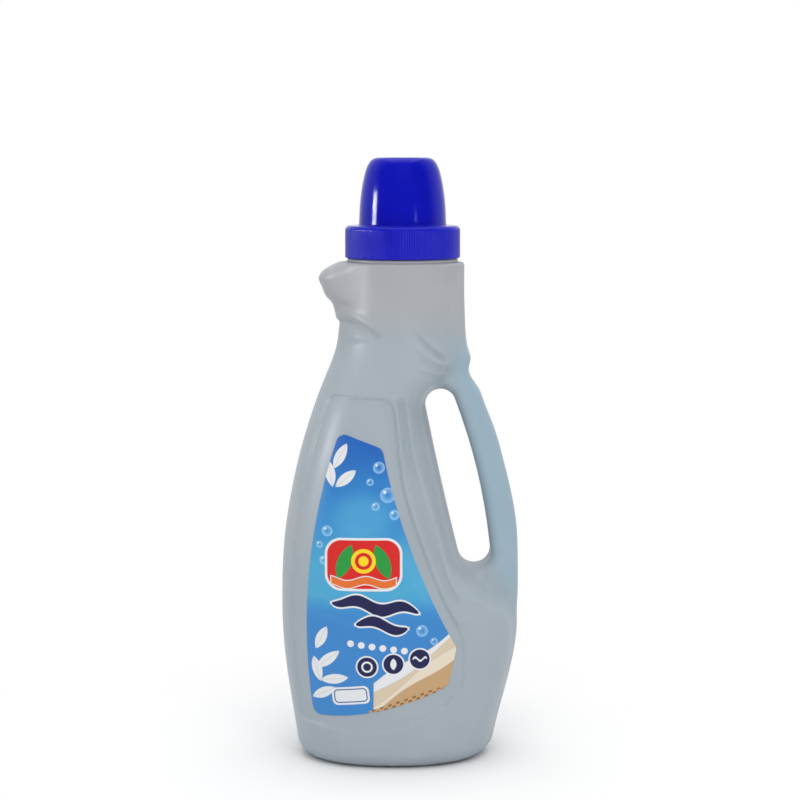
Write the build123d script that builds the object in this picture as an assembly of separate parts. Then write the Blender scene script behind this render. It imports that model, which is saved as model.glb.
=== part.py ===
"""Laundry detergent bottle, one litre, with an open handle, a pour spout and a screw-on dosing cap.

A blow-moulded bottle stands on an oval foot. Its neck is round, with a moulded beak on one side and
the handle on the other. A pour spout sits in the bore of the neck. The cap is also the measuring
cup: it screws down over the neck, and a foam liner under its deck seals on the spout's flange.
One label is stuck on the front and one on the back, each in a shallow recessed panel.

Frame, in millimetres: +Z up, +X towards the handle, -X towards the beak, and the front label faces
-Y. The origin is in the middle of the outline, on the surface that the bottle stands on.
"""

from build123d import *

import os
from math import cos, hypot, pi, sin

# ---------------------------------------------------------------- driving dimensions
WALL = 1.0                   # blown wall of the bottle
NECK_X = 1.2                 # the neck's axis, from the middle of the body
DECK = 232.0                 # flat top of the shoulder, where the neck starts

# Cross-sections of the body, from the foot to the shoulder. Each blends three ovals: the belly, a
# thin web on its right that carries the handle, and a beak on its left. Columns: height, belly's
# left and right edges, half depth and squareness, web's right edge and half depth, beak's left edge.
SECTIONS = [
    (0.0, -47.2, 41.0, 33.7, 2.15, 41.0, 8.0, -47.2),
    (18.0, -49.8, 45.0, 37.2, 2.2, 45.0, 9.0, -49.8),
    (29.0, -51.8, 48.1, 38.6, 2.25, 48.1, 9.5, -51.8),
    (42.0, -53.4, 51.0, 39.6, 2.3, 51.0, 10.0, -53.4),
    (64.0, -55.3, 53.0, 40.6, 2.35, 54.7, 11.0, -55.3),
    (84.0, -55.3, 36.5, 40.8, 2.4, 55.5, 11.5, -55.3),
    (102.0, -54.3, 27.0, 40.6, 2.4, 55.1, 11.5, -54.3),
    (120.0, -51.7, 22.0, 40.1, 2.4, 53.0, 11.5, -51.7),
    (138.0, -48.1, 17.4, 39.0, 2.35, 48.8, 11.5, -48.1),
    (156.0, -43.0, 13.4, 37.1, 2.3, 43.5, 11.5, -43.0),
    (170.0, -38.1, 14.0, 34.8, 2.2, 38.0, 11.5, -38.1),
    (182.0, -33.3, 23.0, 32.2, 2.1, 33.2, 11.0, -33.3),
    (194.0, -29.6, 29.0, 30.0, 2.0, 30.6, 8.0, -29.6),
    (203.5, -27.9, 28.9, 28.7, 2.0, 28.9, 2.0, -28.2),
    (210.0, -27.3, 28.7, 28.2, 2.0, 28.7, 2.0, -30.1),
    (215.5, -27.0, 28.6, 27.9, 2.0, 28.6, 2.0, -33.8),
    (220.0, -26.8, 28.6, 27.7, 2.0, 28.6, 2.0, -36.3),
    (224.2, -26.6, 28.6, 27.6, 2.0, 28.6, 2.0, -37.8),
    (228.2, -26.4, 28.6, 27.5, 2.0, 28.6, 2.0, -35.6),
    (DECK, -26.2, 28.6, 27.4, 2.0, 28.6, 2.0, -28.8),
]
SECTION_POINTS = 56          # points of a cross-section's spline
FINE_STEPS = 400             # steps along which its points are spaced evenly
BLEND_POWER = 4.0            # how sharply the ovals join
WEB_SQUARENESS = 4.0
BEAK_RIGHT = 10.0            # the beak's oval ends here, inside the belly
BEAK_HALF_DEPTH = 15.0
FOOT_RADIUS = 8.0            # rounding between the foot and the sides
PUSH_UP_SIZE = (62.0, 38.0)  # hollow under the foot
PUSH_UP_HEIGHT = 2.0
PUSH_UP_X = -3.0

# The handle's opening is a slot around a curved centre line: x, z and half width at its upper end,
# its middle and its lower end. The slot leans by the same angle over its whole length.
GAP_CENTRES = [(18.8, 166.2, 7.3), (27.4, 133.3, 8.75), (34.8, 97.3, 7.6)]
GAP_LEAN = 13.4              # degrees
GAP_ROUNDING = 3.0

# The label panels, and the labels that lie in them.
PANEL_DEPTH = 0.6
PANEL_OUTLINE = [(-50.0, 84.0), (-46.0, 19.5), (0.0, 22.0), (27.5, 38.0), (29.5, 58.0), (19.0, 80.0),
                 (9.5, 105.0), (1.5, 132.0), (-2.5, 168.0), (-31.0, 169.5), (-43.0, 135.0)]
PANEL_CORNER = 4.0
LABEL_TOP_LEFT = (-27.4, 156.8)
LABEL_LEFT = (-42.2, 84.0)
LABEL_BOTTOM_LEFT = (-39.8, 24.6)
LABEL_BOTTOM = (-9.0, 28.8)
LABEL_BOTTOM_RIGHT = (22.0, 40.2)
LABEL_RIGHT = (25.8, 58.0)
LABEL_WAIST = (7.2, 97.0)
LABEL_TOP_RIGHT = (-8.0, 149.4)
LABEL_CORNER = 4.0
LABEL_THICKNESS = 0.2
LABEL_GAP = 0.1              # glue line between a label and its panel

# Neck finish
NECK_RADIUS = 22.8
BORE_RADIUS = 21.0
NECK_TOP = 244.9
BEAD_RADIUS = 25.6
BEAD_TOP = 233.4
THREAD_PITCH = 4.2
THREAD_TURNS = 1.5
THREAD_ANGLE = 20.0          # start of the neck's thread, round from the handle; the cap's is opposite
THREAD_START = 236.3         # height of the thread's lower end
THREAD_ROOT_WIDTH = 1.8
THREAD_CREST_WIDTH = 0.8
NECK_THREAD_CREST = 24.0
CAP_THREAD_CREST = 23.3

# Cap
SKIRT_BOTTOM = 233.9
SKIRT_RADIUS = 26.6
SKIRT_INSIDE = 24.8
CAP_DECK = 248.8             # top of the ledge between the skirt and the cup
CAP_DECK_UNDERSIDE = 246.9
CAP_TOP = 280.0
CUP_WALL = 1.5
CUP_BASE_RADIUS = 20.25
CUP_MIDDLE = (19.3, 262.9)   # radius and height of a point on the cup's side
CUP_SHOULDER = (17.2, 273.8) # where the side meets the rounding of the top
CUP_TOP_RADIUS = 12.0        # flat part of the top
RIM_RADIUS = 19.5            # pouring rim inside the cap
RIM_INSIDE = 18.3
RIM_BOTTOM = 238.5
KNURL_COUNT = 144
KNURL_DEPTH = 0.3
KNURL_TOP = 246.4

# Pour spout and liner
FLANGE_THICKNESS = 1.0
FLANGE_RADIUS = 22.6
SLEEVE_RADIUS = 20.9
SLEEVE_INSIDE = 19.9
TROUGH_HEIGHT = 227.0        # top of the trough's floor at the neck's axis
TROUGH_THICKNESS = 1.2
TROUGH_TILT = 5.0            # degrees, so that drips run back towards the slot
SPOUT_RADIUS = 11.5
SPOUT_WALL = 1.2
SPOUT_TOP = 269.0            # highest point of the pouring lip
SPOUT_SLOPE = 42.0           # degrees, from the lip down towards the handle
SLOT_WIDTH = 5.0
LINER_INSIDE = 19.85
LINER_RADIUS = 24.4
LINER_GAP = 0.05             # to the cap above the liner and to the flange below it

FILL_HEIGHT = 206.0          # the detergent's level
FILL_GAP = 0.4               # between the detergent and the wall


# ---------------------------------------------------------------- helpers
def outline_in_xz(points, corner=0.0, inset=0.0):
    """A closed face in the XZ plane through the given points, with rounded corners."""
    face = make_face(Polyline([(x, 0, z) for x, z in points], close=True))
    if corner:
        face = fillet(face.vertices(), corner)
    if inset:
        face = offset(face, amount=-inset, kind=Kind.INTERSECTION)
    return face


def through(face, depth=60.0):
    """The block that a face in the XZ plane sweeps through the whole bottle, both ways in Y."""
    return extrude(face, amount=depth, dir=(0, 1, 0), both=True)


def slab(bottom, top):
    """A block wider than the bottle between two heights."""
    return Pos(0, 0, (bottom + top) / 2) * Box(200, 200, top - bottom)


def on_neck(shape):
    """Moves a shape from the Z axis to the neck's axis."""
    return Pos(NECK_X, 0, 0) * shape


def ring(outer, inner, bottom, top):
    """A plain ring on the Z axis."""
    blank = Pos(0, 0, (bottom + top) / 2) * Cylinder(outer, top - bottom)
    if inner:
        blank -= Pos(0, 0, (bottom + top) / 2) * Cylinder(inner, top - bottom + 2)
    return blank


def thread(root, crest, start_angle):
    """A helical ridge around the Z axis, from its root radius to its crest radius."""
    path = Pos(0, 0, THREAD_START) * Rot(0, 0, start_angle) * Helix(
        THREAD_PITCH, THREAD_PITCH * THREAD_TURNS, root
    )
    sunk = root - 0.3 if crest > root else root + 0.3
    corners = [
        (sunk, -THREAD_ROOT_WIDTH / 2),
        (crest, -THREAD_CREST_WIDTH / 2),
        (crest, THREAD_CREST_WIDTH / 2),
        (sunk, THREAD_ROOT_WIDTH / 2),
    ]
    flat = make_face(Polyline([(r, 0, THREAD_START + z) for r, z in corners], close=True))
    return sweep(Rot(0, 0, start_angle) * flat, path=path, is_frenet=True)


# ---------------------------------------------------------------- the body's shape
def oval(x, left, right, half_depth, squareness):
    """Half depth at x of an oval that runs from left to right; 0 outside it."""
    u = abs(2 * x - left - right) / (right - left)
    if u >= 1:
        return 0.0
    return half_depth * (1 - u**squareness) ** (1 / squareness)


def half_depth_at(x, section, inset):
    """Half depth at x of one cross-section, with its wall moved in by inset."""
    _, left, right, depth, squareness, web_right, web, beak_left = section
    ovals = [
        oval(x, left + inset, right - inset, depth - inset, squareness),
        oval(x, (left + right) / 2, web_right - inset, web - inset, WEB_SQUARENESS),
        oval(x, beak_left + inset, BEAK_RIGHT, BEAK_HALF_DEPTH - inset, 2.0),
    ]
    return sum(half**BLEND_POWER for half in ovals) ** (1 / BLEND_POWER)


def section_wire(section, inset):
    """One cross-section as a closed curve through evenly spaced points."""
    left = min(section[1], section[7]) + inset
    right = max(section[2], section[5]) - inset
    fine = []
    for i in range(FINE_STEPS + 1):
        x = (left + right) / 2 - (right - left) / 2 * cos(pi * i / FINE_STEPS)
        fine.append((x, half_depth_at(x, section, inset)))
    lengths = [0.0]
    for (x0, y0), (x1, y1) in zip(fine, fine[1:]):
        lengths.append(lengths[-1] + hypot(x1 - x0, y1 - y0))
    half = []
    count = SECTION_POINTS // 2
    for i in range(1, count):
        goal = lengths[-1] * i / count
        j = next(n for n, length in enumerate(lengths) if length > goal)
        part = (goal - lengths[j - 1]) / (lengths[j] - lengths[j - 1])
        (x0, y0), (x1, y1) = fine[j - 1], fine[j]
        half.append((x0 + (x1 - x0) * part, y0 + (y1 - y0) * part))
    points = [(left, 0.0), *half, (right, 0.0), *[(x, -y) for x, y in half[::-1]]]
    points = [Vector(x, y, section[0]) for x, y in points]
    return Wire([Edge.make_spline(points, periodic=True, parameters=range(SECTION_POINTS + 1))])


def foot_wire(inset, turn):
    """A cross-section of the rounded foot, at an angle of turn degrees round its rounding."""
    radius = FOOT_RADIUS - inset
    height = inset + radius * (1 - cos(turn * pi / 180))
    lower, upper = SECTIONS[:2]
    part = height / upper[0]
    section = [a + (b - a) * part for a, b in zip(lower, upper)]
    section[0] = height
    return section_wire(section, inset + radius * (1 - sin(turn * pi / 180)))


def plain_body(inset):
    """The body from the foot to the shoulder, without panels, handle opening or neck."""
    wires = [foot_wire(inset, turn) for turn in (0, 22, 45, 68, 90)]
    wires += [section_wire(s, inset) for s in SECTIONS[1:]]
    whole = Solid.make_loft(wires)
    return whole & slab(inset / 2, DECK - inset) if inset else whole


def gap_outline(grow):
    """The handle's opening as a face in the XZ plane, grown all round by grow."""
    nx, nz = cos(GAP_LEAN * pi / 180), sin(GAP_LEAN * pi / 180)
    inner = [(x - nx * (r + grow), 0, z - nz * (r + grow)) for x, z, r in GAP_CENTRES]
    outer = [(x + nx * (r + grow), 0, z + nz * (r + grow)) for x, z, r in GAP_CENTRES]
    down = (nz, 0, -nx)
    up = (-nz, 0, nx)
    (x0, z0, r0), _, (x2, z2, r2) = GAP_CENTRES
    top = (x0 - nz * (r0 + grow), 0, z0 + nx * (r0 + grow))
    bottom = (x2 + nz * (r2 + grow), 0, z2 - nx * (r2 + grow))
    side_in = Spline(inner, tangents=[down, down])
    side_out = Spline(outer[::-1], tangents=[up, up])
    low = ThreePointArc(inner[2], bottom, outer[2])
    high = ThreePointArc(outer[0], top, inner[0])
    return make_face(Curve() + [side_in, low, side_out, high])


def push_up(inset):
    """The shallow hollow under the foot; for the inside of the wall it stands higher and wider."""
    length, width = PUSH_UP_SIZE[0] / 2 + inset / 2, PUSH_UP_SIZE[1] / 2 + inset / 2
    low = Pos(PUSH_UP_X, 0, inset - 0.1) * Wire([Edge.make_ellipse(length, width)])
    high = Pos(PUSH_UP_X, 0, inset + PUSH_UP_HEIGHT) * Wire(
        [Edge.make_ellipse(length - PUSH_UP_HEIGHT, width - PUSH_UP_HEIGHT)]
    )
    return Solid.make_loft([low, high])


def body(inset):
    """The body with its panels and handle opening, every wall moved in by inset."""
    panel = through(outline_in_xz(PANEL_OUTLINE, PANEL_CORNER, -inset if inset else 0.0))
    floor = plain_body(inset + PANEL_DEPTH) & slab(14, 200)
    solid = (plain_body(inset) - panel) + floor
    solid -= through(gap_outline(inset))
    rims = [
        e
        for e in solid.edges().filter_by(lambda e: 5 < abs(e.center().Y) < 30 and e.length > 20)
        if GAP_CENTRES[2][1] - 15 < e.center().Z < GAP_CENTRES[0][1] + 15 and 8 < e.center().X < 48
    ]
    solid = fillet([e for e in rims if e.bounding_box().size.Z > 5], GAP_ROUNDING - inset)
    return solid - push_up(inset)


def bottle_shape():
    """The blown bottle with its neck finish."""
    bottle = body(0.0) - body(WALL)
    bottle += on_neck(ring(NECK_RADIUS, 0, DECK - WALL, NECK_TOP))
    bottle += on_neck(ring(BEAD_RADIUS, NECK_RADIUS - 0.5, DECK - 0.5, BEAD_TOP))
    bottle -= on_neck(ring(BORE_RADIUS, 0, DECK - WALL - 1, NECK_TOP + 1))
    bottle += on_neck(thread(NECK_RADIUS, NECK_THREAD_CREST, THREAD_ANGLE))
    return bottle


def cup_profile(inset):
    """The cup's outside (or, moved in by its wall, its inside) as a half profile about the Z axis."""
    base = (CUP_BASE_RADIUS - inset, 0, CAP_DECK - 1.9 if inset else CAP_DECK - 1)
    middle = (CUP_MIDDLE[0] - inset, 0, CUP_MIDDLE[1])
    shoulder = (CUP_SHOULDER[0] - inset, 0, CUP_SHOULDER[1])
    top = (CUP_TOP_RADIUS - inset / 2, 0, CAP_TOP - inset)
    side = Spline([base, middle, shoulder])
    turn = Spline([side @ 1, top], tangents=[side % 1, (-1, 0, 0)])
    close_top = Line(top, (0, 0, top[2]))
    axis = Line((0, 0, top[2]), (0, 0, base[2]))
    close_base = Line((0, 0, base[2]), base)
    return make_face(Curve() + [side, turn, close_top, axis, close_base])


def cap_shape():
    """The dosing cap, which is one moulding: threaded skirt, deck, pouring rim and cup."""
    skirt = ring(SKIRT_RADIUS, 0, SKIRT_BOTTOM, CAP_DECK)
    skirt = fillet(skirt.edges().group_by(Axis.Z)[-1], 2.2)
    star = []
    for i in range(2 * KNURL_COUNT):
        angle = pi * i / KNURL_COUNT
        r = SKIRT_RADIUS + 0.05 - (KNURL_DEPTH + 0.05 if i % 2 else 0.0)
        star.append((r * cos(angle), r * sin(angle)))
    ribbed = make_face(Polyline([(x, y, 0) for x, y in star], close=True))
    ribs = extrude(ribbed, amount=KNURL_TOP - SKIRT_BOTTOM + 1)
    sleeve = ring(SKIRT_RADIUS + 2, 0, SKIRT_BOTTOM - 1, KNURL_TOP)
    grooves = sleeve - Pos(0, 0, SKIRT_BOTTOM - 1) * ribs
    skirt -= grooves
    cap = skirt + revolve(cup_profile(0.0), Axis.Z)
    cap -= ring(SKIRT_INSIDE, RIM_RADIUS, SKIRT_BOTTOM - 1, CAP_DECK_UNDERSIDE)
    cap -= ring(RIM_RADIUS + 1, 0, SKIRT_BOTTOM - 1, RIM_BOTTOM)
    cap -= ring(RIM_INSIDE, 0, RIM_BOTTOM - 1, CAP_DECK_UNDERSIDE + 0.2)
    cap -= revolve(cup_profile(CUP_WALL), Axis.Z)
    cap += thread(SKIRT_INSIDE, CAP_THREAD_CREST, THREAD_ANGLE + 180)
    return on_neck(cap)


def spout_shape():
    """The pour spout: flange, sleeve, sloping trough and an open lip."""
    flange_top = NECK_TOP + FLANGE_THICKNESS
    part = ring(SLEEVE_RADIUS, 0, TROUGH_HEIGHT - 8, flange_top)
    trough = Pos(0, 0, TROUGH_HEIGHT) * Rot(0, TROUGH_TILT, 0)
    part -= trough * Pos(0, 0, -TROUGH_THICKNESS - 20) * Box(80, 80, 40)
    part -= (trough * Pos(0, 0, 20) * Box(80, 80, 40)) & ring(SLEEVE_INSIDE, 0, 200, 260)
    tube = ring(SPOUT_RADIUS, 0, TROUGH_HEIGHT - 1.0, SPOUT_TOP)
    tube -= trough * Pos(0, 0, -TROUGH_THICKNESS / 2 - 20) * Box(80, 80, 40)
    slope = Pos(-SPOUT_RADIUS, 0, SPOUT_TOP) * Rot(0, SPOUT_SLOPE, 0)
    tube -= slope * Pos(0, 0, 20) * Box(120, 80, 40)
    part += tube
    part -= ring(SPOUT_RADIUS - SPOUT_WALL, 0, 200, SPOUT_TOP + 1)
    slot = Pos(SPOUT_RADIUS, 0, 0) * Box(6, SLOT_WIDTH, 600)
    part -= (trough * Pos(0, 0, 30) * Box(80, 80, 60)) & slot
    part += ring(FLANGE_RADIUS, SLEEVE_INSIDE, NECK_TOP, flange_top)
    return on_neck(part)


def liner_shape():
    """The foam liner, which stays in the cap."""
    bottom = NECK_TOP + FLANGE_THICKNESS + LINER_GAP
    return on_neck(ring(LINER_RADIUS, LINER_INSIDE, bottom, CAP_DECK_UNDERSIDE - LINER_GAP))


def label_outline():
    """The label's outline in the XZ plane."""
    corners = [LABEL_TOP_LEFT, LABEL_LEFT, LABEL_BOTTOM_LEFT, LABEL_BOTTOM, LABEL_BOTTOM_RIGHT, LABEL_RIGHT]
    corners += [LABEL_WAIST, LABEL_TOP_RIGHT]
    a, b, c, d, e, f, g, h = [(x, 0, z) for x, z in corners]
    sides = [ThreePointArc(a, b, c), ThreePointArc(c, d, e), Line(e, f), ThreePointArc(f, g, h), Line(h, a)]
    return fillet(make_face(Curve() + sides).vertices(), LABEL_CORNER)


def label_shape():
    """The front label: a thin sheet that follows the floor of its panel."""
    back = PANEL_DEPTH - LABEL_GAP
    sheet = plain_body(back - LABEL_THICKNESS) - plain_body(back)
    front = Pos(0, -40, 100) * Box(200, 80, 300)
    return sheet & through(label_outline()) & front


def detergent_shape():
    """The liquid, up to its level."""
    return body(WALL + FILL_GAP) & slab(0, FILL_HEIGHT)


# ---------------------------------------------------------------- the parts
front_label = label_shape()
parts = {
    "bottle": bottle_shape(),
    "pour_spout": spout_shape(),
    "cap": cap_shape(),
    "cap_liner": liner_shape(),
    "front_label": front_label,
    "back_label": mirror(front_label, Plane.XZ),
    "detergent": detergent_shape(),
}

os.makedirs("parts", exist_ok=True)
for name, shape in parts.items():
    shape.label = name
    export_step(shape, f"parts/{name}.step")
    print(name, shape.is_valid, len(shape.solids()), "solids", round(shape.volume / 1000, 2), "ml")
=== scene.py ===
import math

import bpy
import numpy as np
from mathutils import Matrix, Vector
from mathutils.geometry import delaunay_2d_cdt


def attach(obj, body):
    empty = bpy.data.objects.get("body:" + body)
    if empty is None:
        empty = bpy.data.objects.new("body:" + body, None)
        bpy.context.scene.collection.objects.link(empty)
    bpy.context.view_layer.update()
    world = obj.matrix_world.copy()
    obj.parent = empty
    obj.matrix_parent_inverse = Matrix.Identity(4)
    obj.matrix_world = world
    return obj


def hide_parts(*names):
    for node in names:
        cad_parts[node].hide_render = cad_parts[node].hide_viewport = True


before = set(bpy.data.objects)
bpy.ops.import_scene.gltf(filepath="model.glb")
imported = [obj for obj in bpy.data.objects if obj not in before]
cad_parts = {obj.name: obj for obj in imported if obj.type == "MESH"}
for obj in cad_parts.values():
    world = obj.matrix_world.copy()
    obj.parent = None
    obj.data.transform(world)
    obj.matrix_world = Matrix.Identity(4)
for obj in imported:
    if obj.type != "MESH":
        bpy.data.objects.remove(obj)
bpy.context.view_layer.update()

# The looks of a one-litre laundry detergent bottle. All shapes below are in millimetres and become
# metres in make_object. +Z is up, the front label faces -Y, the handle is on +X, the beak on -X.
# The body is the zero surface of one function, bottle_form, which is negative inside the plastic's
# outer surface. The bottle's two skins, its labels and the detergent are all meshed from it.

MM = 0.001
NECK_X = 1.2             # the neck's axis
DECK = 232.0             # flat top of the shoulder
WALL = 1.0
FILL_HEIGHT = 206.0      # the detergent's level
FILL_GAP = 0.3           # between the detergent and the wall
OUTER_STEP, INNER_STEP, FILL_STEP = 1.2, 3.0, 2.4    # mesh sizes of the skins and the detergent


# ------------------------------------------------------------------------------------ shape helpers
def spline(*points):
    """A smooth curve through (height, value) points, as a function of height."""
    zs, vs = np.array(points, float).T
    n, h = len(zs), np.diff(zs)
    a, rhs = np.eye(n), np.zeros(n)
    for i in range(1, n - 1):
        a[i, i - 1 : i + 2] = h[i - 1], 2 * (h[i - 1] + h[i]), h[i]
        rhs[i] = 6 * ((vs[i + 1] - vs[i]) / h[i] - (vs[i] - vs[i - 1]) / h[i - 1])
    m = np.linalg.solve(a, rhs)

    def at(z):
        z = np.clip(z, zs[0], zs[-1])
        i = np.clip(np.searchsorted(zs, z, side="right") - 1, 0, n - 2)
        t0, t1 = z - zs[i], zs[i + 1] - z
        bend = (m[i] * t1**3 + m[i + 1] * t0**3) / (6 * h[i])
        falling = (vs[i] / h[i] - m[i] * h[i] / 6) * t1
        rising = (vs[i + 1] / h[i] - m[i + 1] * h[i] / 6) * t0
        return bend + falling + rising

    return at


def smoothstep(low, high, v):
    """0 at low, 1 at high, smooth in between; low may be the larger."""
    t = np.clip((v - low) / (high - low), 0, 1)
    return t * t * (3 - 2 * t)


def soft_min(a, b, k):
    """Union of two shapes, blended over about k."""
    h = np.maximum(k - np.abs(a - b), 0) / k
    return np.minimum(a, b) - h * h * k / 4


def round_max(a, b, r):
    """Intersection of two shapes, with the edge between them rounded to radius r."""
    corner = np.hypot(np.maximum(r + a, 0), np.maximum(r + b, 0))
    return np.minimum(-r, np.maximum(a, b)) + corner


def oval(x, y, left, right, depth, power):
    """Distance from an oval column that runs from left to right, to first order."""
    a, c = (right - left) / 2, (right + left) / 2
    u, v = np.abs(x - c) / a, np.abs(y) / depth
    g = (u**power + v**power) ** (1 / power) + 1e-9
    slope = np.hypot((u / g) ** (power - 1) / a, (v / g) ** (power - 1) / depth)
    return (g - 1) / np.maximum(slope, 1e-9)


def outline_distance(x, z, points):
    """Signed distance from a closed outline in the XZ plane, negative inside."""
    closed = points + points[:1]
    sign = np.ones(np.broadcast(x, z).shape)
    for (x0, z0), (x1, z1) in zip(closed, closed[1:]):
        low, high, left = z >= z0, z < z1, (x1 - x0) * (z - z0) > (z1 - z0) * (x - x0)
        sign = np.where((low & high & left) | (~low & ~high & ~left), -sign, sign)
    return sign * line_distance(x, z, closed)


def line_distance(x, z, points):
    """Distance from an open polyline in the XZ plane."""
    best = 1e9
    for (x0, z0), (x1, z1) in zip(points, points[1:]):
        ex, ez, wx, wz = x1 - x0, z1 - z0, x - x0, z - z0
        t = np.clip((wx * ex + wz * ez) / (ex * ex + ez * ez), 0, 1)
        best = np.minimum(best, np.hypot(wx - t * ex, wz - t * ez))
    return best


def curved(points, steps=6):
    """A rounded polyline through the given points."""
    ps = np.array(points, float)
    ts = np.arange(len(ps))
    fx, fz = spline(*zip(ts, ps[:, 0])), spline(*zip(ts, ps[:, 1]))
    t = np.linspace(0, len(ps) - 1, (len(ps) - 1) * steps + 1)
    return list(zip(fx(t), fz(t)))


# ------------------------------------------------------------------------------------ the bottle's form
# Columns (height, value): a belly, a thin web on its right that carries the handle, and a beak.
belly_left = spline((0, -47.2), (18, -49.8), (42, -53.4), (64, -55.2), (84, -55.2), (102, -54.2),
                    (120, -51.7), (138, -48.0), (156, -43.0), (170, -38.2), (182, -33.4),
                    (192, -29.8), (200, -28.5), (208, -27.6), (232, -26.3))
belly_right = spline((0, 41), (18, 45), (42, 51), (60, 53.4), (72, 49.5), (84, 37.5), (93, 31.0),
                     (102, 27.0), (120, 22.0), (138, 17.6), (156, 13.6), (166, 12.8), (174, 17.0),
                     (182, 24.0), (192, 28.3), (204, 29.0), (216, 28.6), (232, 28.6))
belly_depth = spline((0, 33.7), (18, 37.2), (42, 39.6), (64, 40.6), (84, 40.8), (102, 40.6),
                     (120, 40.1), (138, 39.0), (156, 37.1), (170, 34.8), (182, 32.2), (194, 30.2),
                     (204, 28.8), (216, 27.9), (232, 27.4))
belly_power = spline((0, 2.15), (42, 2.3), (84, 2.4), (138, 2.35), (170, 2.2), (194, 2.0), (232, 2.0))
web_right = spline((0, 40.8), (18, 44.9), (42, 51.1), (60, 54.1), (76, 55.4), (92, 55.4), (106, 54.9),
                   (120, 53.0), (138, 48.8), (156, 43.5), (168, 38.8), (173.5, 36.5), (177.4, 33.8),
                   (181.2, 32.1), (184.2, 32.3), (187, 32.9), (190.6, 32.0), (196, 30.1), (204, 29.0),
                   (216, 28.6), (232, 28.6))
web_depth = spline((0, 9), (40, 10.5), (64, 11.7), (100, 12.4), (140, 12.4), (170, 11.8),
                   (184, 10.5), (196, 9), (208, 6), (232, 5))
beak_left = spline((198, -24.0), (202.5, -27.4), (206, -28.9), (210.6, -30.5), (213.2, -31.7),
                   (215.4, -33.8), (219, -35.7), (222.3, -37.1), (224.4, -37.7), (226.4, -37.0),
                   (228.2, -35.4), (230, -32.4), (232, -28.6))
beak_depth = spline((198, 6), (206, 11), (214, 14), (224, 15), (232, 16.5))
WEB_POWER, BEAK_POWER = 2.5, 2.0
BEAK_RIGHT = 6.0             # the beak's oval ends here, inside the belly
JOIN = 5.0                   # how softly the three join
SLOT_ROUNDING, FOOT_ROUNDING, DECK_ROUNDING = 5.2, 8.0, 1.3
PUSH_UP_HEIGHT = 2.0         # hollow under the foot

# The handle's opening: the ends of its centre line, and how far the line bows outwards.
SLOT_TOP, SLOT_END = np.array((18.8, 166.4)), np.array((34.8, 97.3))
SLOT_BOW = 0.93

# Moulded details as lines in the XZ plane.
PANEL = curved([(-50.0, 84), (-49.6, 52), (-46.4, 25), (-42, 20.6), (-22, 18.6), (2, 21.4), (20, 30.5),
                (28.4, 40), (29.6, 56), (26, 68), (18.6, 82), (9.6, 105), (1.4, 132), (-1.6, 158),
                (-3.4, 168), (-8, 171.4), (-20, 172.2), (-29, 172.6), (-34.2, 167), (-40, 148),
                (-47.2, 117), (-50.0, 84)])[:-1]
PANEL_RIDGE = curved([(-1.8, 171), (-0.2, 158), (3.0, 133), (11.4, 106), (20.2, 83.5), (27.6, 69.5)])
FLUTE = curved([(0.2, 169), (1.8, 158), (4.6, 141), (9.6, 121), (15.4, 103), (20.8, 88), (25.2, 78)])
GAP_RIDGE = curved([(2.6, 172), (4.4, 163), (6.2, 149), (11.2, 131), (17.0, 112), (20.6, 98),
                    (23.6, 87.5), (30.2, 79.8), (37.4, 77.4), (43.4, 80.4)])
HANDLE_FOLDS = [             # each with its height
    ([(8.2, 201.9), (12.7, 196.9), (18.6, 191.6)], 0.9),
    ([(8.6, 193.7), (13.6, 189.9), (19.6, 186.3)], 0.85),
    ([(8.6, 185.6), (13.6, 183.1), (19.4, 181.2)], 0.6),
]
HANDLE_GROOVES = [           # each with its depth
    ([(9.2, 198.1), (13.4, 193.6), (19.0, 188.6)], 0.8),
    ([(10.2, 188.4), (14.5, 185.6), (20.4, 183.1)], 0.75),
    ([(11.4, 181.6), (17.8, 179.5)], 0.5),
]
NECK_CREASE = curved([(-30.0, 205.4), (-24.5, 205.6), (-19.5, 204.4), (-14.5, 201.9), (-9.8, 198.9)])
BEAK_CREASE = [(-33.5, 213.4), (-29.5, 213.6), (-25.4, 212.7)]


def slot_distance(x, z):
    """Distance outwards from the handle's opening, in the XZ plane."""
    run = SLOT_END - SLOT_TOP
    length = math.hypot(*run)
    nx, nz = -run[1] / length, run[0] / length
    s = np.clip(((x - SLOT_TOP[0]) * run[0] + (z - SLOT_TOP[1]) * run[1]) / length**2, 0, 1)
    hump = 4 * s * (1 - s)
    cx = SLOT_TOP[0] + run[0] * s + SLOT_BOW * hump * nx
    cz = SLOT_TOP[1] + run[1] * s + SLOT_BOW * hump * nz
    return np.hypot(x - cx, z - cz) - (7.1 + 0.5 * s + 1.35 * hump)


def ridge(x, z, points, height, width):
    """A soft ridge along a line."""
    return height * np.exp(-((line_distance(x, z, points) / width) ** 2))


def relief(x, z):
    """How far the moulded details stand out of the plain form, seen from the front or the back."""
    out = -1.15 * (1 - smoothstep(-1.0, 0.9, outline_distance(x, z, PANEL)))
    out = out + ridge(x, z, PANEL_RIDGE, 1.25, 1.4)
    out = out - ridge(x, z, FLUTE, 0.95, 1.7)
    out = out + ridge(x, z, GAP_RIDGE, 1.3, 1.9) * smoothstep(46.5, 38.0, x)
    for points, height in HANDLE_FOLDS:
        out = out + ridge(x, z, points, height, 1.5)
    for points, depth in HANDLE_GROOVES:
        out = out - ridge(x, z, points, depth, 1.4)
    above = [(px + 0.6, pz + 2.6) for px, pz in NECK_CREASE]
    out = out - ridge(x, z, NECK_CREASE, 1.0, 1.4) + ridge(x, z, above, 0.6, 2.0)
    out = out - ridge(x, z, BEAK_CREASE, 0.7, 1.3)
    dimple = ((x + 19.9) / 4.5) ** 2 + ((z - 199.0) / 2.4) ** 2
    return out + 0.9 * np.exp(-dimple)


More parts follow.
